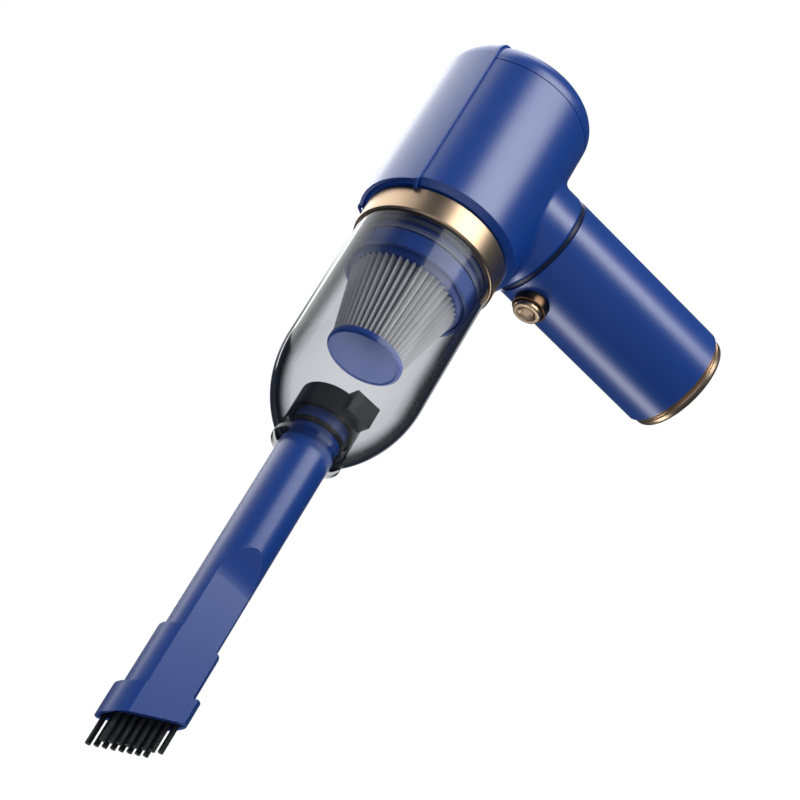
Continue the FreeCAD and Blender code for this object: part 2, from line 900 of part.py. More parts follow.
def make_button():
    face = -handle_radius - s.button_proud
    back = face + s.button_length
    body = new_body("power_button")
    points = [
        (face + s.button_dish, 0),
        (face + s.button_dish, s.button_dish_radius),
        (face + s.button_step, s.button_step_radius),
        (face, s.button_face_radius),
        (face, s.button_radius - s.button_edge),
        (face + s.button_edge, s.button_radius),
        (back, s.button_radius),
        (back, s.stem_radius),
        (back + s.button_travel + s.stem_reach, s.stem_radius),
        (back + s.button_travel + s.stem_reach, 0),
    ]
    spin(body, points)
    keep(body, z=s.button_height)
    bezel = new_body("button_bezel")
    front = -handle_radius - s.bezel_proud
    spin(bezel, [
        (front, bezel_outside - s.bezel_wall),
        (front, bezel_outside - s.bezel_edge),
        (front + s.bezel_edge, bezel_outside),
        (s.bezel_sink - handle_bore, bezel_outside),
        (s.bezel_sink - handle_bore, bezel_outside - s.bezel_wall),
    ])
    keep(bezel, z=s.button_height)
    switch = new_body("power_switch")
    start = back + s.button_travel + s.switch_gap
    side = s.switch_side

    def outline(sketch):
        half = side / 2
        draw(sketch, rectangle(-half, -half, half, half))

    def well(sketch):
        draw_circle(sketch, 0, 0, s.stem_radius + s.stem_play)

    push(switch, "YZ_Plane", outline, s.switch_depth, offset=start)
    depth = s.button_travel + s.stem_reach + s.switch_floor
    push(switch, "YZ_Plane", well, depth, offset=start + depth, cut=True)
    keep(switch, z=s.button_height)
    tall = s.switch_side + s.switch_board_tall
    board = block("switch_board", s.board_thick, s.switch_side + s.switch_board_wide, tall,
                  x=start + s.switch_depth + s.board_thick / 2, z=s.button_height - tall / 2)
    keep(board)


def make_charge_socket():
    shell = block("socket_shell", s.socket_height, s.socket_width, s.socket_depth,
                  x=s.socket_reach, z=s.base_lift)
    well = block("socket_well", s.socket_height - s.socket_wall * 2,
                 s.socket_width - s.socket_wall * 2, s.socket_depth - 1,
                 x=s.socket_reach, z=s.base_lift - 0.5)
    keep(cut_from("charge_socket", shell, well))


# ---- lock ring and dust cup ----

ring_back = s.head_front + s.moving_gap
cup_back = dock_front + s.moving_gap
cup_bore = s.cup_radius - s.cup_wall
spigot_bore = s.nozzle_radius + s.spigot_gap
tube_outside = s.collar_radius


def make_lock_ring():
    inner = dock_radius + s.moving_gap
    edge = s.ring_edge
    turned("lock_ring", [
        (-ring_back, inner),
        (-ring_back, ring_radius - edge),
        (-ring_back - edge, ring_radius),
        (edge - dock_front, ring_radius),
        (-dock_front, ring_radius - edge),
        (-dock_front, inner),
    ])


def make_dust_cup():
    radius = s.dome_radius
    level = s.cup_radius - tube_outside
    reach = (radius * radius - (radius - level) * (radius - level)).root()
    inner_radius = radius - s.cup_wall
    inner_level = cup_bore - tube_outside
    inner_reach = (inner_radius * inner_radius
                   - (inner_radius - inner_level) * (inner_radius - inner_level)).root()
    lip_back = s.collar_front - s.collar_lip_length
    turned("dust_cup", [
        (-cup_back, cup_bore),
        (-cup_back, s.cup_radius),
        (-s.cup_straight, s.cup_radius),
        Arc(-s.cup_straight - reach, tube_outside, radius, 1),
        (-lip_back, tube_outside),
        (-lip_back, tube_outside + s.collar_lip),
        (-s.collar_front, tube_outside + s.collar_lip),
        (-s.collar_front, spigot_bore),
        (-s.collar_back, spigot_bore),
        (-s.collar_back, tube_outside),
        (-s.cup_straight - inner_reach, tube_outside),
        Arc(-s.cup_straight, cup_bore, inner_radius, -1),
    ])


def make_inlet_duct():
    body = new_body("inlet_duct")
    front = s.collar_back
    tube = [
        (-s.duct_back, spigot_bore),
        (-s.duct_back, tube_outside),
        (-front, tube_outside),
        (-front, spigot_bore),
    ]
    spin(body, tube)
    keep(body, z=axis_height)
    overhang = s.duct_back - s.block_overhang
    front_face = overhang + s.block_length
    dome = s.dome_radius - s.cup_wall
    run = front_face - s.cup_straight
    corner = (dome * dome - run * run).root() - (dome - cup_bore) - s.block_clear
    side = (corner * corner - s.block_bottom * s.block_bottom).root()
    flap = block("deflector_box", s.block_length, s.block_width, s.block_height,
                 x=s.block_length / 2 - front_face, y=s.block_width / 2 - side,
                 z=axis_height - s.block_bottom)
    core = cylinder("deflector_core", tube_outside + DEFLECTOR_GAP, s.block_length + BEYOND * 2,
                    x=-s.duct_back - s.block_length - BEYOND * 2, z=axis_height, along="X")
    keep(cut_from("duct_deflector", flap, core))


# ---- filter ----


def make_filter():
    rim = cup_bore - s.seal_thick - s.moving_gap
    wide = cup_bore - s.moving_gap
    throat = cup_bore - s.throat_inset
    pleat_wide = cup_bore - s.pleat_inset
    turned("filter_frame", [
        (-s.filter_back, throat - s.rim_wall),
        (-s.filter_back, rim),
        (-s.rim_back, rim),
        (-s.rim_back, wide),
        (-s.rim_front, wide),
        (-s.rim_front, wide - s.rim_wall),
        (s.rim_shelf - s.rim_front, wide - s.rim_wall),
        (-s.pleat_start, pleat_wide + s.pleat_margin),
        (-s.pleat_start, pleat_wide - s.pleat_wall),
    ])
    turned("filter_pleats", [
        (-s.pleat_start, pleat_wide - s.pleat_wall),
        (-s.pleat_start, pleat_wide),
        (-s.pleat_front, s.pleat_narrow),
        (-s.pleat_front, s.pleat_narrow - s.pleat_wall),
    ])
    seal_end = s.seal_start + s.seal_width
    turned("cup_seal", [
        (s.seal_start - s.rim_back, rim),
        (s.seal_start - s.rim_back, wide + s.fixed_gap),
        (seal_end - s.rim_back, wide + s.fixed_gap),
        (seal_end - s.rim_back, rim),
    ])
    edge = s.disc_edge
    turned("filter_end_cap", [
        (-s.pleat_front, 0),
        (-s.pleat_front, s.disc_radius),
        (edge - s.disc_front, s.disc_radius),
        (-s.disc_front, s.disc_radius - edge),
        (-s.disc_front, 0),
    ])
    turned("filter_seal", ring(dock_front + s.gasket_gap, s.filter_back, throat, dock_radius))


# ---- crevice nozzle ----


def scoop_foot(point):
    """True on the line where the scoop runs out into the flat."""
    return (abs(point.x + SIZES["flat_start"]) < 0.05
            and abs(abs(point.y) - SIZES["flat_half"]) < 0.05)


def make_nozzle():
    body = new_body("crevice_nozzle")
    radius = s.nozzle_radius
    groove = s.nozzle_back + s.groove_start
    groove_end = groove + s.groove_width
    outside = [
        (-s.nozzle_back, 0),
        (-s.nozzle_back, radius - s.nozzle_edge),
        (-s.nozzle_back - s.nozzle_edge, radius),
        (-groove, radius),
        (-groove, radius - s.groove_sink),
        (-groove_end, radius - s.groove_sink),
        (-groove_end, radius),
        (-s.nozzle_tip, radius),
        (-s.nozzle_tip, 0),
    ]
    spin(body, outside)

    def side_cuts(sketch):
        for side in (-1, 1):
            far = (radius + 2) * side
            draw(sketch, [
                (-s.scoop_start, radius * side),
                (-s.flat_start, s.flat_half * side),
                (-s.nozzle_tip - 2, s.flat_half * side),
                (-s.nozzle_tip - 2, far),
                (-s.scoop_start, far),
            ])

    push(body, "XY_Plane", side_cuts, radius * 2 + 2, cut=True, both=True)
    fillet_where(body, s.scoop_round, scoop_foot)
    bore = radius - s.nozzle_wall
    spin(body, [
        (-s.nozzle_back + 1, 0),
        (-s.nozzle_back + 1, bore),
        (-s.scoop_start + 1, bore),
        (-s.scoop_start + 1, 0),
    ], cut=True)

    def slot(sketch):
        draw(sketch, flatted(bore, s.flat_half - s.nozzle_wall))

    length = s.nozzle_tip - s.scoop_start + 6
    push(body, "YZ_Plane", slot, length, offset=-s.scoop_start + 4, cut=True)
    keep(body, z=axis_height)
    seal = spigot_bore - s.o_ring_play
    turned("nozzle_o_ring", [
        (-groove - s.o_ring_play, radius - s.groove_sink),
        (-groove - s.o_ring_play, seal),
        (s.o_ring_play - groove_end, seal),
        (s.o_ring_play - groove_end, radius - s.groove_sink),
    ])


# ---- brush ----

web_back = s.nozzle_tip + s.sleeve_stop
mouth_slope = (s.mouth_top - s.mouth_bottom) / (s.brush_radius * 2)
mouth_middle = (s.mouth_top + s.mouth_bottom) / 2


def make_brush_head():
    body = new_body("brush_head")
    height = s.brush_radius

    def collar(sketch):
        draw(sketch, flatted(s.brush_radius, s.brush_half))

    def behind_collar(sketch):
        draw(sketch, [
            (-s.brush_back_top, height),
            (-s.brush_back_bottom, -height),
            (-s.sleeve_back + 5, -height - 5),
            (-s.sleeve_back + 5, height + 5),
            (-s.brush_back_top, height + 5),
        ])

    def sleeve(sketch):
        draw(sketch, flatted(s.sleeve_radius, s.sleeve_half))

    def beyond_mouth(sketch):
        draw(sketch, [
            (-s.mouth_bottom, -height),
            (-s.mouth_top, height),
            (-s.mouth_top, height + 5),
            (-s.mouth_top - 30, height + 5),
            (-s.mouth_top - 30, -height - 5),
            (-s.mouth_bottom, -height - 5),
        ])

    def nozzle_seat(sketch):
        draw(sketch, flatted(s.nozzle_radius + s.sleeve_play, s.flat_half + s.sleeve_play))

    def air_slot(sketch):
        draw(sketch, rounded(s.air_half_width, s.air_half_height, s.air_corner))

    def mouth(sketch):
        inside = s.mouth_half_height
        run = mouth_slope * inside
        seat = mouth_middle - s.mouth_depth
        draw(sketch, [
            (-seat + run, -inside),
            (-seat - run, inside),
            (-seat - run - 30, inside),
            (-seat + run - 30, -inside),
        ])

    back = s.brush_back_bottom - 4
    push(body, "YZ_Plane", collar, s.mouth_top + 4 - back, offset=-s.mouth_top - 4)
    push(body, "XZ_Plane", behind_collar, s.brush_half * 2 + 4, cut=True, both=True)
    inside = s.brush_back_top + 2
    push(body, "YZ_Plane", sleeve, inside - s.sleeve_back, offset=-inside)
    push(body, "XZ_Plane", beyond_mouth, s.brush_half * 2 + 4, cut=True, both=True)
    push(body, "YZ_Plane", nozzle_seat, web_back - s.sleeve_back + 2, offset=-s.sleeve_back + 2, cut=True)
    push(body, "YZ_Plane", air_slot, s.mouth_top - web_back + 4, offset=-web_back + 1, cut=True)
    push(body, "XZ_Plane", mouth, s.mouth_half_width * 2, cut=True, both=True)
    return keep(body, z=axis_height)


def make_bristle_tufts():
    pieces = []
    for row in (-1, 1):
        for place in range(TUFTS_PER_ROW):
            rise = s.tuft_pitch * (place - (TUFTS_PER_ROW - 1) / 2 + TUFT_STAGGER * row)
            tip = mouth_middle + s.tuft_proud + mouth_slope * rise
            length = s.tuft_proud + s.mouth_depth + s.tuft_root
            pieces.append(cylinder(f"tuft_{row + 1}_{place}", s.tuft_radius, length,
                                   x=-tip, y=s.tuft_row * row, z=axis_height + rise, along="X"))
    return keep(grouped("bristle_tufts", pieces))


make_head_shell()
make_top_cover()
make_rear_cap()
make_inlet_grille()
make_grille_screws()
make_fan()
make_motor()
make_motor_mount()
make_exhaust_foam()
make_handle_shell()
make_handle_rings()
make_base_plate()
make_base_screws()
make_battery()
make_boards()
make_button()
make_charge_socket()
make_lock_ring()
make_dust_cup()
make_inlet_duct()
make_filter()
make_nozzle()
make_brush_head()
make_bristle_tufts()
doc.recompute()

for thing in doc.Objects:
    if "Invalid" in thing.State or "Error" in thing.State:
        raise RuntimeError(f"{thing.Name} did not compute: {thing.State}")
for thing in subparts:
    if thing.Shape.isNull() or not thing.Shape.isValid() or not thing.Shape.Solids:
        raise RuntimeError(f"{thing.Label} is not a valid solid")

os.makedirs("parts", exist_ok=True)
for thing in subparts:
    thing.Shape.exportStep(f"parts/{thing.Label}.step")
    box = thing.Shape.BoundBox
    print(f"{thing.Label:16s} {len(thing.Shape.Solids):3d} solids  x {box.XMin:8.2f} {box.XMax:8.2f}"
          f"  y {box.YMin:7.2f} {box.YMax:7.2f}  z {box.ZMin:7.2f} {box.ZMax:7.2f}")
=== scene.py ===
import math

import bpy
from mathutils import Matrix, Vector


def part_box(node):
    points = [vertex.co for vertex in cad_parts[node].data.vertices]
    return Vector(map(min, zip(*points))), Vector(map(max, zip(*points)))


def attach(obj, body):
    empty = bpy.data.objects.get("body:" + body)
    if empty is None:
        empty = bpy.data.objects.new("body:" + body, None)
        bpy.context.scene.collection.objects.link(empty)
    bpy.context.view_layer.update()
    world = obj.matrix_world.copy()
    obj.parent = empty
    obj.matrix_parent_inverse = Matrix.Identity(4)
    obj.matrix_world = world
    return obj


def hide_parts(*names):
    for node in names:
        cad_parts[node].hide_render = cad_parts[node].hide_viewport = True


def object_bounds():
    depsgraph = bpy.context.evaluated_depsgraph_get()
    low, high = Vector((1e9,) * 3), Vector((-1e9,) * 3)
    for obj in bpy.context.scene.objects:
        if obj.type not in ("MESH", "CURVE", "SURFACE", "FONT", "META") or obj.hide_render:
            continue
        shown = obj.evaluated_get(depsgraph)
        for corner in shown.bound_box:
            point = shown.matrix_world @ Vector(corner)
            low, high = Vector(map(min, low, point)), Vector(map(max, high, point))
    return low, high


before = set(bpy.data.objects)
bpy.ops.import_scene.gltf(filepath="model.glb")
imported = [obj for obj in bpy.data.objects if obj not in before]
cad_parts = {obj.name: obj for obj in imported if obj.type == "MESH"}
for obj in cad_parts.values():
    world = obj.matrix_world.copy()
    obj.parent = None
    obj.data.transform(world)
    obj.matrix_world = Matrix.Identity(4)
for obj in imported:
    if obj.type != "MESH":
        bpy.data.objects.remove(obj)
cad_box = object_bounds()

# ---- head shell ----
# The motor housing: a satin blue ABS moulding, one barrel with the neck that the handle
# plugs into, rounded where the two meet. Its colour and grain are shared by every blue part.

AXIS = (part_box("lock_ring")[0].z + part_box("lock_ring")[1].z) / 2
BLUE = (0.0030, 0.068, 0.39, 1)
BLUE_WORN = (0.0040, 0.076, 0.43, 1)


class Value:
    """A socket of a material, so that maths on it is written as maths."""

    def __init__(self, tree, socket):
        self.tree = tree
        self.socket = socket

    def maths(self, operation, first, second):
        node = self.tree.nodes.new("ShaderNodeMath")
        node.operation = operation
        for place, item in enumerate((first, second)):
            if isinstance(item, Value):
                self.tree.links.new(item.socket, node.inputs[place])
            else:
                node.inputs[place].default_value = item
        return Value(self.tree, node.outputs[0])

    def __add__(self, other):
        return self.maths("ADD", self, other)

    def __sub__(self, other):
        return self.maths("SUBTRACT", self, other)

    def __rsub__(self, other):
        return self.maths("SUBTRACT", other, self)

    def __mul__(self, other):
        return self.maths("MULTIPLY", self, other)

    __radd__ = __add__
    __rmul__ = __mul__


class Finish:
    """A material built on one shader; constants go straight on the shader's own sockets."""

    def __init__(self, name, **constants):
        self.material = bpy.data.materials.new(name)
        self.material.use_nodes = True
        self.tree = self.material.node_tree
        self.shader = self.tree.nodes["Principled BSDF"]
        self.set(**constants)

    def join(self, socket, item):
        if isinstance(item, Value):
            self.tree.links.new(item.socket, socket)
        else:
            socket.default_value = item

    def set(self, **sockets):
        for label, item in sockets.items():
            self.join(self.shader.inputs[label.replace("_", " ")], item)

    def node(self, kind, settings=None, output=0, **sockets):
        node = self.tree.nodes.new("ShaderNode" + kind)
        for label, item in (settings or {}).items():
            setattr(node, label, item)
        for label, item in sockets.items():
            self.join(node.inputs[label.replace("_", " ")], item)
        return Value(self.tree, node.outputs[output])

    def noise(self, size, detail=2.0, stretch=(1, 1, 1)):
        """Noise whose blobs are about size metres across, stretched along the piece's axes."""
        where = self.node("TexCoord", output="Object")
        placed = self.node("Mapping", Vector=where, Scale=stretch)
        return self.node("TexNoise", Vector=placed, Scale=1 / size, Detail=detail)

    def mix(self, amount, first, second):
        node = self.tree.nodes.new("ShaderNodeMix")
        node.data_type = "RGBA"
        for place, item in ((0, amount), (6, first), (7, second)):
            self.join(node.inputs[place], item)
        return Value(self.tree, node.outputs[2])

    def bump(self, height, depth):
        self.set(Normal=self.node("Bump", Height=height, Distance=depth))


def moulded(name, colour, worn, roughness, grain=0.00045, depth=0.000004):
    """A plastic moulding: slow changes of colour, a fine grain and a soft unevenness of gloss."""
    finish = Finish(name)
    fine = finish.noise(grain, detail=3)
    slow = finish.noise(0.03, detail=3)
    finish.set(Base_Color=finish.mix(slow, colour, worn),
               Roughness=roughness + 0.05 * (fine - 0.5) + 0.05 * (slow - 0.5))
    finish.bump(fine, depth)
    return finish.material


def paint(material, *names):
    """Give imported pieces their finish, slot by slot."""
    for name in names:
        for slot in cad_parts[name].material_slots:
            slot.material = material


blue = moulded("satin_blue", BLUE, BLUE_WORN, 0.36)
gloss = blue.node_tree.nodes["Principled BSDF"].inputs
gloss["IOR"].default_value = 1.7
gloss["Coat Weight"].default_value = 0.6
gloss["Coat Roughness"].default_value = 0.32
paint(blue, "head_shell")

# ---- top cover ----
# A thin saddle of the same blue plastic, clipped over the top of the barrel and round its
# rear edge. A raised bead runs along each of its two long edges and over the rounded end.

COVER_WALL = 0.0014
COVER_SETBACK = 0.0114
BEAD_WIDTH = 0.0016
BEAD_WALL = 0.0012
BEAD_PROUD = 0.0005
BEAD_LIP = 0.0021
BEAD_REACH = 0.003
cover_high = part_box("top_cover")[1]
cover_radius = cover_high.z - AXIS
cover_half_angle = math.asin(cover_high.y / cover_radius)
lip_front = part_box("head_shell")[0].x + COVER_SETBACK


def start_piece(name, point):
    """A new mesh of one point, open for editing."""
    bpy.ops.object.select_all(action="DESELECT")
    bpy.ops.mesh.primitive_plane_add(size=0.001, location=(0, 0, 0))
    piece = bpy.context.object
    piece.name = piece.data.name = name
    bpy.ops.object.mode_set(mode="EDIT")
    bpy.ops.mesh.select_all(action="SELECT")
    bpy.ops.mesh.merge(type="CENTER")
    bpy.ops.transform.translate(value=point)
    return piece


def arc(centre, radius, start, end, count=8):
    """Points of an arc in an outline, from one angle to another in degrees."""
    points = []
    for place in range(count + 1):
        angle = math.radians(start + (end - start) * place / count)
        points.append((centre[0] + radius * math.cos(angle), centre[1] + radius * math.sin(angle)))
    return points


def roll_on_barrel(piece, angle):
    """Turn a finished mesh about the barrel's axis."""
    lift = Matrix.Translation((0, 0, AXIS))
    piece.data.transform(lift @ Matrix.Rotation(angle, 4, "X") @ lift.inverted())


def turn(name, outline, upright=False, steps=192, angle=None, edge=0.0003):
    """Turn an outline of (place along the axis, radius) points about the barrel or the handle."""
    if upright:
        places = [Vector((radius, 0, along)) for along, radius in outline]
        centre, axis = (0, 0, 0), (0, 0, 1)
    else:
        places = [Vector((along, 0, AXIS + radius)) for along, radius in outline]
        centre, axis = (0, 0, AXIS), (1, 0, 0)
    piece = start_piece(name, places[0])
    places.append(places[0])
    for before, after in zip(places, places[1:]):
        bpy.ops.mesh.extrude_region_move(TRANSFORM_OT_translate={"value": after - before})
    bpy.ops.mesh.select_all(action="SELECT")
    bpy.ops.mesh.remove_doubles(threshold=1e-7)
    bpy.ops.mesh.select_all(action="SELECT")
    if angle is not None:
        bpy.ops.mesh.edge_face_add()
    sweep = math.tau if angle is None else angle
    bpy.ops.mesh.spin(steps=steps, angle=sweep, center=centre, axis=axis)
    bpy.ops.mesh.select_all(action="SELECT")
    bpy.ops.mesh.remove_doubles(threshold=2e-7)
    bpy.ops.mesh.normals_make_consistent(inside=False)
    bpy.ops.object.mode_set(mode="OBJECT")
    if angle is not None:
        roll_on_barrel(piece, angle / 2)
    return soften(piece, edge)


def soften(piece, edge):
    """Break the sharp edges as a mould does, and shade the rest smooth."""
    corner = math.radians(28)
    bpy.ops.object.select_all(action="DESELECT")
    piece.select_set(True)
    bpy.context.view_layer.objects.active = piece
    bpy.ops.object.shade_smooth()
    if edge:
        bevel = piece.modifiers.new("edges", "BEVEL")
        bevel.width = edge
        bevel.segments = 3
        bevel.limit_method = "ANGLE"
        bevel.angle_limit = corner
        bevel.harden_normals = True
        bpy.ops.object.modifier_apply(modifier=bevel.name)
    else:
        bpy.ops.object.shade_smooth_by_angle(angle=corner)
    return piece


def finish_piece(piece, body, slot, material, *nodes):
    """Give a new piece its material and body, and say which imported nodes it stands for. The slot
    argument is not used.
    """
    piece.data.materials.clear()
    piece.data.materials.append(material)
    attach(piece, body)
    if nodes:
        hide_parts(*nodes)
    return piece


cap_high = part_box("rear_cap")[1]
cap_round = 0.009
head_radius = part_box("head_shell")[1].y


def saddle_outline(outside, thick, front, down):
    """Side view of a strip that lies on the barrel and bends over its rounded rear edge."""
    rim = (cap_high.x - cap_round, head_radius - cap_round)
    bend = cap_round + outside
    skin = [(front, head_radius + outside)] + arc(rim, bend, 90, 0, 12)
    skin.append((rim[0] + bend, rim[1] - down))
    under = [(rim[0] + bend - thick, rim[1] - down)] + arc(rim, bend - thick, 0, 90, 12)
    under.append((front, head_radius + outside - thick))
    return skin + under


cover_proud = cover_radius - head_radius
cover = turn("top_cover_skin", saddle_outline(cover_proud, COVER_WALL, lip_front, COVER_WALL),
             angle=2 * cover_half_angle, steps=64, edge=0.00025)
finish_piece(cover, "head", "blue_shell", blue, "top_cover")

for side, name in ((1, "cover_bead_left"), (-1, "cover_bead_right")):
    outside = cover_proud + BEAD_PROUD
    outline = saddle_outline(outside, BEAD_WALL, lip_front, BEAD_REACH)
    lip_top = head_radius - BEAD_LIP + outside
    lip = [(lip_front - BEAD_LIP, lip_top - BEAD_WALL), (lip_front - BEAD_LIP, lip_top)]
    bead = turn(name, lip + outline, angle=BEAD_WIDTH / cover_radius, steps=4, edge=0.00045)
    roll_on_barrel(bead, side * cover_half_angle)
    finish_piece(bead, "head", "blue_shell", blue)

# ---- rear cap ----
# The closed end of the barrel, blue plastic, pressed on behind a fine seam. The air leaves
# through the slots in its face.

paint(blue, "rear_cap")

# ---- fan and motor ----
# Out of sight behind the bulkhead: a white plastic fan on a steel shaft, a brushless motor in
# a pressed steel can with copper windings, and the rubber and foam that quieten it.

white = moulded("white_plastic", (0.70, 0.70, 0.68, 1), (0.62, 0.62, 0.60, 1), 0.42)
black = moulded("black_plastic", (0.010, 0.010, 0.011, 1), (0.016, 0.016, 0.018, 1), 0.30)
rubber = moulded("black_rubber", (0.012, 0.012, 0.012, 1), (0.020, 0.019, 0.018, 1), 0.62,
                 grain=0.0003, depth=0.00002)


def metal(name, colour, worn, roughness, stretch):
    """Bare metal, brushed or turned: the marks are noise drawn out along the cut."""
    finish = Finish(name, Metallic=1.0)
    marks = finish.noise(0.0016, detail=4, stretch=stretch)
    slow = finish.noise(0.02)
    finish.set(Base_Color=finish.mix(slow, colour, worn),
               Roughness=roughness + 0.10 * (marks - 0.5))
    finish.bump(marks, 0.000006)
    return finish.material


steel = metal("steel", (0.55, 0.55, 0.54, 1), (0.45, 0.45, 0.45, 1), 0.28, (1, 8, 8))
copper = metal("copper_windings", (0.80, 0.38, 0.20, 1), (0.62, 0.27, 0.13, 1), 0.32, (6, 1, 1))


def foam_finish():
    """Open-cell foam: round pits close together."""
    finish = Finish("grey_foam", Roughness=0.95)
    where = finish.node("TexCoord", output="Object")
    cells = finish.node("TexVoronoi", Vector=where, Scale=1100.0)
    # Painted shade: the colour darkens with the same cell distance that lowers the bump, so the
    # low parts between the cells are painted darker.
    finish.set(Base_Color=finish.mix(cells, (0.16, 0.16, 0.16, 1), (0.05, 0.05, 0.05, 1)))
    finish.bump(1 - cells, 0.0003)
    return finish.material


paint(white, "impeller", "fan_shroud", "inlet_grille")
paint(steel, "motor_can", "motor_shaft", "front_bearing", "rear_bearing")
paint(steel, "grille_screws", "base_screws")
paint(copper, "stator")
paint(black, "rotor_magnet")
paint(rubber, "motor_mount")
paint(foam_finish(), "exhaust_foam")

# ---- battery and electronics ----
# Two wrapped lithium cells in a black holder fill the handle; a green board and the switch
# sit above them, and the charging socket below.

wrap = moulded("battery_wrap", (0.02, 0.16, 0.10, 1), (0.03, 0.20, 0.12, 1), 0.3)


def board_finish():
    """Green solder mask with thin lighter copper tracks under it."""
    finish = Finish("green_board", Roughness=0.35)
    where = finish.node("TexCoord", output="Object")
    tracks = finish.node("TexBrick", Vector=where, Scale=260.0, Mortar_Size=0.06, output=1)
    finish.set(Base_Color=finish.mix(tracks, (0.01, 0.10, 0.035, 1), (0.05, 0.24, 0.09, 1)))
    finish.bump(tracks, 0.00003)
    return finish.material


paint(wrap, "battery_cells")
paint(board_finish(), "control_board", "switch_board")
paint(black, "battery_holder", "board_parts", "power_switch")
paint(steel, "charge_socket")

# ---- handle ----
# A straight tube of the same blue plastic. A dark recessed ring parts it from the neck, and
# a grooved gold ring closes it round the blue base plate.

GOLD = (0.60, 0.44, 0.29, 1)
GOLD_WORN = (0.52, 0.37, 0.24, 1)
handle_low, handle_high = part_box("handle_shell")
bezel_low, bezel_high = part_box("button_bezel")
handle_wall = 0.002
tube_low = 0.0056
snug = 0.0001

handle = turn("handle_tube", [
    (tube_low, handle_high.x - handle_wall),
    (tube_low, handle_high.x),
    (handle_high.z, handle_high.x),
    (handle_high.z, handle_high.x - handle_wall),
], upright=True, edge=0)
bpy.ops.object.select_all(action="DESELECT")
bpy.ops.mesh.primitive_cylinder_add(
    vertices=96, radius=(bezel_high.y - bezel_low.y) / 2 + snug, depth=0.02,
    location=(handle_low.x, 0, (bezel_low.z + bezel_high.z) / 2), rotation=(0, math.pi / 2, 0))
drill = bpy.context.object
hole = handle.modifiers.new("button_hole", "BOOLEAN")
hole.object = drill
hole.solver = "EXACT"
bpy.context.view_layer.objects.active = handle
bpy.ops.object.modifier_apply(modifier=hole.name)
bpy.data.objects.remove(drill)
soften(handle, 0.00035)
finish_piece(handle, "head", "blue_shell", blue, "handle_shell")

groove = moulded("dark_blue_groove", (0.0022, 0.010, 0.045, 1), (0.003, 0.013, 0.055, 1), 0.42)
paint(groove, "neck_ring")


def gold_finish(name, stretch):
    """Champagne anodising over fine turning marks."""
    finish = Finish(name, Metallic=1.0)
    marks = finish.noise(0.0022, detail=5, stretch=stretch)
    slow = finish.noise(0.02)
    finish.set(Base_Color=finish.mix(slow, GOLD, GOLD_WORN),
               Roughness=0.35 + 0.05 * (marks - 0.5))
    finish.bump(marks, 0.000001)
    return finish.material


gold_upright = gold_finish("gold_turned_upright", (0.4, 0.4, 12))
gold_level = gold_finish("gold_turned_level", (12, 0.4, 0.4))
band_low, band_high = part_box("base_ring")
band_round = 0.0016
band_groove = (0.0032, 0.0036)
groove_sink = 0.0006
band_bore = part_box("base_plate")[1].x + snug
band_lip = band_high.x - 0.0010
band_neck = handle_high.x - handle_wall - snug
base_band = turn("base_band", [
    (band_low.z, band_bore),
    *arc((band_low.z + band_round, band_lip - band_round), band_round, 180, 90),
    (band_groove[0], band_lip),
    (band_groove[1], band_lip - groove_sink),
    (tube_low - snug, band_high.x),
    (tube_low - snug, band_neck),
    (band_high.z, band_neck),
    (band_high.z, band_bore),
], upright=True, edge=0.0003)
finish_piece(base_band, "head", "gold_trim", gold_upright, "base_ring")
paint(blue, "base_plate")

# ---- button ----
# A gold push button with a dished face and two turned rings, in a dark gold bezel. It sits
# high on the front of the handle, under the forefinger.

button_low, button_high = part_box("power_button")
button_z = (button_low.z + button_high.z) / 2
button_radius = (button_high.y - button_low.y) / 2
stem_radius = 0.0016
cap_depth = 0.0056
cap_edge = 0.0007
waist = (0.0024, 0.0027)
waist_sink = 0.0002
face = button_low.x


def turn_on_button(name, outline, edge):
    """Turn an outline about the button's axis."""
    piece = turn(name, outline, edge=edge, steps=96)
    piece.data.transform(Matrix.Translation((0, 0, button_z - AXIS)))
    return piece


button = turn_on_button("push_button", [
    (face + 0.0009, 0),
    (face + 0.0009, 0.0016),
    (face + 0.0006, 0.0018),
    (face + 0.0006, 0.0021),
    (face + 0.0009, 0.0023),
    (face + 0.0003, 0.0036),
    (face, 0.0038),
    (face, button_radius - 0.0009),
    *arc((face + cap_edge, button_radius - cap_edge), cap_edge, 180, 90, 5),
    (face + waist[0], button_radius),
    (face + waist[0], button_radius - waist_sink),
    (face + waist[1], button_radius - waist_sink),
    (face + waist[1], button_radius),
    (face + cap_depth, button_radius),
    (face + cap_depth, stem_radius),
    (button_high.x, stem_radius),
    (button_high.x, 0),
], 0.00012)
finish_piece(button, "button", "gold_trim", gold_level, "power_button")

dark_gold = metal("dark_gold", (0.20, 0.12, 0.07, 1), (0.12, 0.07, 0.04, 1), 0.30, (8, 1, 1))
bezel_radius = (bezel_high.y - bezel_low.y) / 2
bezel_bore = bezel_radius - 0.0008
bezel = turn_on_button("button_surround", [
    (bezel_low.x, bezel_bore),
    (bezel_low.x, bezel_radius),
    (bezel_high.x, bezel_radius),
    (bezel_high.x, bezel_bore),
], 0.00025)
finish_piece(bezel, "head", "gold_trim", dark_gold, "button_bezel")

# ---- lock ring ----
# A gold anodised ring, turned from tube, that turns a few degrees to let the dust cup go.
# Both its rims are chamfered.

ring_low, ring_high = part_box("lock_ring")
ring_radius = ring_high.y
ring_inner = 0.0244
ring_edge = 0.0006
lock_ring = turn("gold_lock_ring", [
    (ring_high.x, ring_inner),
    (ring_high.x, ring_radius - ring_edge),
    (ring_high.x - ring_edge, ring_radius),
    (ring_low.x + ring_edge, ring_radius),
    (ring_low.x, ring_radius - ring_edge),
    (ring_low.x, ring_inner),
], edge=0.0002)
finish_piece(lock_ring, "lock", "gold_trim", gold_level, "lock_ring")
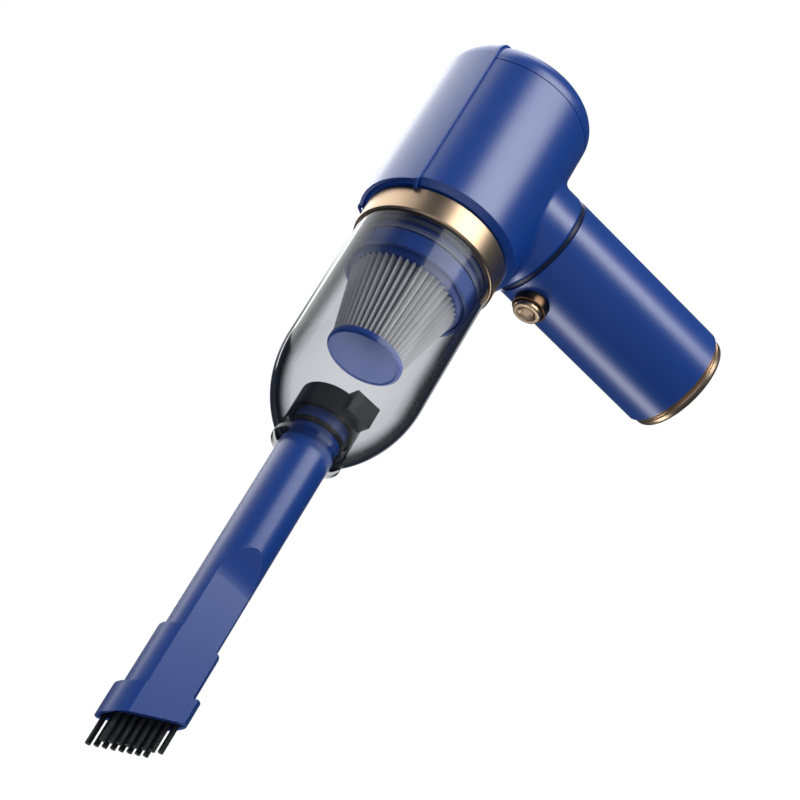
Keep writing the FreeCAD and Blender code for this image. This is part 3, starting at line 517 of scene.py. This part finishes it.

# ---- filter ----
# A removable cone: a blue frame with a rubber lip seal grips the cup's mouth, and
# pleated grey filter paper runs from it to a blue end cap. The seal's light
# grey-blue is a painted reflection.

PLEATS = 46
PLEAT_FOLD = 0.0030
frame_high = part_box("filter_frame")[1]
band_front = 0.057
rim_back = 0.050
rim_radius = 0.0229
wide_radius = frame_high.y
rim_wall = 0.0016
flange_depth = 0.002
paper_clear = 0.0006
paper_seat = 0.003
cone_low, cone_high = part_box("filter_pleats")
cone_wide = cone_high.y
cone_narrow = 0.0124
throat = 0.0179

filter_frame = turn("filter_frame_moulding", [
    (frame_high.x, throat),
    (frame_high.x, rim_radius),
    (-rim_back, rim_radius),
    (-rim_back, wide_radius),
    (-band_front, wide_radius),
    (-band_front, wide_radius - rim_wall),
    (-band_front + flange_depth, wide_radius - rim_wall),
    (cone_high.x, cone_wide + paper_clear),
    (cone_high.x, cone_wide - paper_seat),
], edge=0.0003)
finish_piece(filter_frame, "filter", "blue_shell", blue, "filter_frame")

seal_low, seal_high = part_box("cup_seal")
seal_bore = rim_radius + 0.00002
seal_waist = seal_high.y - 0.0005
lip_width = 0.0008
lip_seal = turn("lip_seal", [
    (seal_low.x, seal_bore),
    (seal_low.x, seal_high.y),
    (seal_low.x + lip_width, seal_waist),
    (seal_high.x - lip_width, seal_waist),
    (seal_high.x, seal_high.y),
    (seal_high.x, seal_bore),
], edge=0.0002)
# The seal's light grey-blue is a painted reflection: it lightens the band under the lock ring the
# way the lamp's reflection in the glass does.
seal_painted_reflection = moulded("seal_rubber_painted_reflection", (0.15, 0.18, 0.30, 1), (0.18, 0.21, 0.34, 1), 0.42,
                grain=0.0003, depth=0.00001)
finish_piece(lip_seal, "filter", "rubber", seal_painted_reflection, "cup_seal")
paint(seal_painted_reflection, "filter_seal")


def paper_finish():
    """Melt-blown filter paper: pale fibres, a little grey dust caught between them, and painted
    shade darkening each fold towards its valley.
    """
    finish = Finish("filter_paper", Roughness=0.9)
    fibres = finish.noise(0.0006, detail=6, stretch=(1, 2.2, 2.2))
    dust = finish.noise(0.006, detail=4)
    where = finish.node("TexCoord", output="Object")
    across = finish.node("SeparateXYZ", output=1, Vector=where)
    height = finish.node("SeparateXYZ", output=2, Vector=where) - AXIS
    fold = height.maths("ARCTAN2", height, across) * (PLEATS / math.tau)
    turn_of_fold = fold.maths("FRACT", fold, 0) - 0.5
    fold_shade_mask = turn_of_fold.maths("ABSOLUTE", turn_of_fold, 0) * 2
    pale = finish.mix(fibres, (0.78, 0.78, 0.77, 1), (0.92, 0.92, 0.91, 1))
    dusty = finish.mix(dust * 0.35, pale, (0.45, 0.45, 0.45, 1))
    # Painted shade: the paper is darkened towards the bottom of each fold's valley, where the
    # folds shade each other.
    finish.set(Base_Color=finish.mix(fold_shade_mask * fold_shade_mask * 0.9, dusty, (0.10, 0.10, 0.10, 1)))
    finish.bump(fibres, 0.00008)
    return finish.material


bpy.ops.object.select_all(action="DESELECT")
cone_length = cone_high.x - cone_low.x
bpy.ops.mesh.primitive_cone_add(
    vertices=PLEATS * 4, radius1=cone_wide, radius2=cone_narrow + 0.0012, depth=cone_length,
    end_fill_type="NOTHING", location=((cone_low.x + cone_high.x) / 2, 0, AXIS),
    rotation=(0, -math.pi / 2, 0))
pleats = bpy.context.object
pleats.name = pleats.data.name = "pleated_paper"
bpy.ops.object.transform_apply(location=True, rotation=True, scale=True)
bpy.ops.object.mode_set(mode="EDIT")
bpy.ops.mesh.select_mode(type="VERT")
bpy.ops.mesh.select_all(action="SELECT")
bpy.ops.mesh.subdivide(number_cuts=1)
bpy.ops.object.mode_set(mode="OBJECT")
for point in pleats.data.vertices:
    reach = math.hypot(point.co.y, point.co.z - AXIS)
    around = math.atan2(point.co.z - AXIS, point.co.y) * PLEATS / math.tau
    phase = abs((around % 1) - 0.5) * 2
    taper = 0.55 + 0.45 * (point.co.x - cone_low.x) / cone_length
    shrink = 1 - PLEAT_FOLD * taper * phase / reach
    point.co.y *= shrink
    point.co.z = AXIS + (point.co.z - AXIS) * shrink
thick = pleats.modifiers.new("paper", "SOLIDIFY")
thick.thickness = 0.0004
thick.offset = -1
bpy.ops.object.modifier_apply(modifier=thick.name)
bpy.ops.object.shade_smooth_by_angle(angle=math.radians(24))
finish_piece(pleats, "filter", "filter_cloth", paper_finish(), "filter_pleats")

disc_low, disc_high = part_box("filter_end_cap")
disc_radius = disc_high.y
disc_edge = 0.0003
disc_dish = disc_low.x + 0.0003
end_cap = turn("filter_end_disc", [
    (disc_high.x, 0),
    (disc_high.x, disc_radius - disc_edge),
    (disc_high.x - disc_edge, disc_radius),
    (disc_low.x + 0.0008, disc_radius),
    (disc_low.x, disc_radius - 0.0007),
    (disc_low.x, disc_radius - 0.0014),
    (disc_dish, disc_radius - 0.0016),
    (disc_dish, 0),
], edge=0.00025)
finish_piece(end_cap, "filter", "blue_shell", blue, "filter_end_cap")

# ---- dust cup ----
# One clear, faintly smoky moulding with walls two millimetres thick, straight, then domed
# down to the short collar that the nozzle plugs into.

cup_low, cup_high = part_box("dust_cup")
cup_radius = cup_high.y
cup_wall = 0.002
cup_straight = -0.097
dome_radius = 0.047
collar_radius = 0.0123
collar_bore = 0.01005
collar_back = -0.1215
lip_length = 0.0022
lip_proud = 0.0008
EDGE_START = 0.44  # how far a surface turns away before its wall reads as thick
EDGE_RISE = 3.2


def dome(radius, start_radius):
    """The quarter-dome's arc, from the straight wall down to the collar."""
    centre = (cup_straight, start_radius - radius)
    end = math.degrees(math.acos((collar_radius - centre[1]) / radius))
    return arc(centre, radius, 90, 90 + end, 28)


def clear_finish():
    """Clear polycarbonate, smokier and darker the more of it light goes through at a slant."""
    finish = Finish("smoky_clear", Transmission_Weight=1.0, IOR=1.04, Coat_Weight=0.45,
                    Coat_Roughness=0.14)
    swirl = finish.noise(0.002, detail=4, stretch=(0.3, 1, 1))
    slow = finish.noise(0.03)
    finish.set(Base_Color=finish.mix(slow, (0.98, 0.98, 0.99, 1), (0.95, 0.955, 0.97, 1)),
               Roughness=0.02 + 0.03 * swirl)
    tree = finish.tree
    slant = finish.node("LayerWeight", output=1, Blend=0.5)
    share = finish.node("Clamp", Value=(slant - EDGE_START) * EDGE_RISE)
    edge = finish.node("BsdfPrincipled", Base_Color=(0.012, 0.012, 0.013, 1), Roughness=0.08,
                       IOR=1.5)
    edged = tree.nodes.new("ShaderNodeMixShader")
    tree.links.new(share.socket, edged.inputs[0])
    tree.links.new(finish.shader.outputs[0], edged.inputs[1])
    tree.links.new(edge.socket, edged.inputs[2])
    open_way = finish.node("BsdfTransparent", Color=(1, 1, 1, 1))
    rays = tree.nodes.new("ShaderNodeLightPath")
    either = tree.nodes.new("ShaderNodeMixShader")
    tree.links.new(rays.outputs["Is Shadow Ray"], either.inputs[0])
    tree.links.new(edged.outputs[0], either.inputs[1])
    tree.links.new(open_way.socket, either.inputs[2])
    output = tree.nodes["Material Output"]
    tree.links.new(either.outputs[0], output.inputs["Surface"])
    smoke = finish.node("VolumeAbsorption", Color=(0.40, 0.41, 0.44, 1), Density=150.0)
    tree.links.new(smoke.socket, output.inputs["Volume"])
    return finish.material


cup = turn("clear_dust_cup", [
    (cup_high.x, cup_radius - cup_wall),
    (cup_high.x, cup_radius),
    *dome(dome_radius, cup_radius),
    (cup_low.x + lip_length, collar_radius),
    (cup_low.x + lip_length, collar_radius + lip_proud),
    (cup_low.x, collar_radius + lip_proud),
    (cup_low.x, collar_bore),
    (collar_back, collar_bore),
    (collar_back, collar_radius),
    *reversed(dome(dome_radius - cup_wall, cup_radius - cup_wall)),
], edge=0.0003)
finish_piece(cup, "cup", "smoke_clear", clear_finish(), "dust_cup")

# ---- inlet duct and deflector ----
# A black tube inside the cup's neck, and an angular block beside it that turns the dirty
# air away from the filter. Both are fixed in the cup.

duct_low, duct_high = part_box("inlet_duct")
duct_edge = 0.0005
duct = turn("black_duct", [
    (duct_high.x, collar_bore),
    (duct_high.x, duct_high.y - duct_edge),
    (duct_high.x - duct_edge, duct_high.y),
    (duct_low.x, duct_high.y),
    (duct_low.x, collar_bore),
], edge=0.0002)
finish_piece(duct, "cup", "black_plastic", black, "inlet_duct")
block_grey = moulded("dark_grey_plastic", (0.022, 0.022, 0.022, 1), (0.03, 0.03, 0.03, 1), 0.34)
paint(block_grey, "duct_deflector")

# ---- crevice nozzle ----
# A blue tube pushed into the cup's collar, scooped flat on both sides towards its tip. A
# rubber ring seals it.

paint(blue, "crevice_nozzle")
paint(rubber, "nozzle_o_ring")

# ---- brush ----
# A blue sleeve that slips over the nozzle's tip and widens to a slanted mouth, with two
# rows of black nylon tufts set in it.

paint(blue, "brush_head")


def bristle_finish():
    """Black nylon: straight filaments that catch the light one by one."""
    finish = Finish("black_bristle", Roughness=0.5)
    strands = finish.noise(0.00022, detail=3, stretch=(0.05, 1, 1))
    dark, worn = (0.004, 0.004, 0.004, 1), (0.030, 0.029, 0.028, 1)
    finish.set(Base_Color=finish.mix(strands, dark, worn))
    finish.bump(strands, 0.0003)
    return finish.material


paint(bristle_finish(), "bristle_tufts")

# ---- stage ----
# A pale floor well below the object, which hangs in the air as held, large soft lamps, and
# the camera.

floor_drop = 0.45
bpy.ops.object.select_all(action="DESELECT")
bpy.ops.mesh.primitive_plane_add(size=12, location=(0, 0, cad_box[0].z - floor_drop))
floor = bpy.context.object
floor.name = "floor"
floor_finish = Finish("pale_floor", Base_Color=(0.02, 0.02, 0.02, 1), Roughness=1.0,
                      Emission_Color=(1, 1, 1, 1), Emission_Strength=1.0)
floor.data.materials.append(floor_finish.material)
floor.visible_glossy = False
floor.visible_diffuse = False

AIM = Vector((-0.0864, 0.0085, AXIS - 0.0233))
AZIMUTH, ELEVATION, ROLL = -33.81, 19.25, -46.76
DISTANCE = 0.8826
azimuth, elevation, roll = (math.radians(value) for value in (AZIMUTH, ELEVATION, ROLL))
back = Vector((math.sin(azimuth) * math.cos(elevation), -math.cos(azimuth) * math.cos(elevation),
               math.sin(elevation)))
level = Vector((math.cos(azimuth), math.sin(azimuth), 0.0))
up = back.cross(level)
right = level * math.cos(roll) + up * math.sin(roll)
turned_up = back.cross(right)
camera_data = bpy.data.cameras.new("camera")
camera_data.lens = 113.47
camera_data.sensor_width = 36
camera = bpy.data.objects.new("camera", camera_data)
bpy.context.scene.collection.objects.link(camera)
facing = Matrix((right, turned_up, back)).transposed().to_4x4()
camera.matrix_world = Matrix.Translation(AIM + back * DISTANCE) @ facing
bpy.context.scene.camera = camera

bpy.context.scene.view_settings.view_transform = "Standard"
world = bpy.data.worlds.new("studio")
bpy.context.scene.world = world
world.use_nodes = True
tree = world.node_tree
sky = tree.nodes["Background"]
rays = tree.nodes.new("ShaderNodeLightPath")
backdrop = tree.nodes.new("ShaderNodeBackground")
backdrop.inputs["Color"].default_value = (1, 1, 1, 1)
backdrop.inputs["Strength"].default_value = 1.0
sky.inputs["Color"].default_value = (0.45, 0.62, 1.0, 1)
sky.inputs["Strength"].default_value = 0.10
blend = tree.nodes.new("ShaderNodeMixShader")
tree.links.new(rays.outputs["Is Camera Ray"], blend.inputs[0])
tree.links.new(sky.outputs[0], blend.inputs[1])
tree.links.new(backdrop.outputs[0], blend.inputs[2])
tree.links.new(blend.outputs[0], tree.nodes["World Output"].inputs["Surface"])

MIDDLE = Vector((-0.06, 0, AXIS - 0.03))
LAMP_DISTANCE = 1.1
LAMPS = (  # name, direction from the object, width, height, watts
    ("key_strip", (0.60, -0.79, -0.10), 0.40, 0.9, 6.2),
    ("top_left", (0.88, 0.46, 0.52), 1.4, 1.4, 11.5),
    ("under_left", (-0.80, 0.48, -0.38), 0.40, 0.9, 5.6),
    ("rim", (0.56, 0.77, -0.30), 0.45, 0.9, 0.6),
    ("left_edge", (0.525, 0.81, 0.24), 0.6, 0.10, 0.5),
    ("fill", (-0.55, -0.75, 0.35), 1.6, 1.6, 3.5),
)
for name, direction, width, height, watts in LAMPS:
    lamp_data = bpy.data.lights.new(name, "AREA")
    lamp_data.shape = "RECTANGLE"
    lamp_data.size = width
    lamp_data.size_y = height
    lamp_data.energy = watts
    lamp = bpy.data.objects.new(name, lamp_data)
    lamp.visible_camera = False
    lamp.visible_transmission = False
    bpy.context.scene.collection.objects.link(lamp)
    toward = Vector(direction).normalized()
    lamp.location = MIDDLE + toward * LAMP_DISTANCE
    lamp.rotation_euler = (-toward).to_track_quat("-Z", "Y").to_euler()
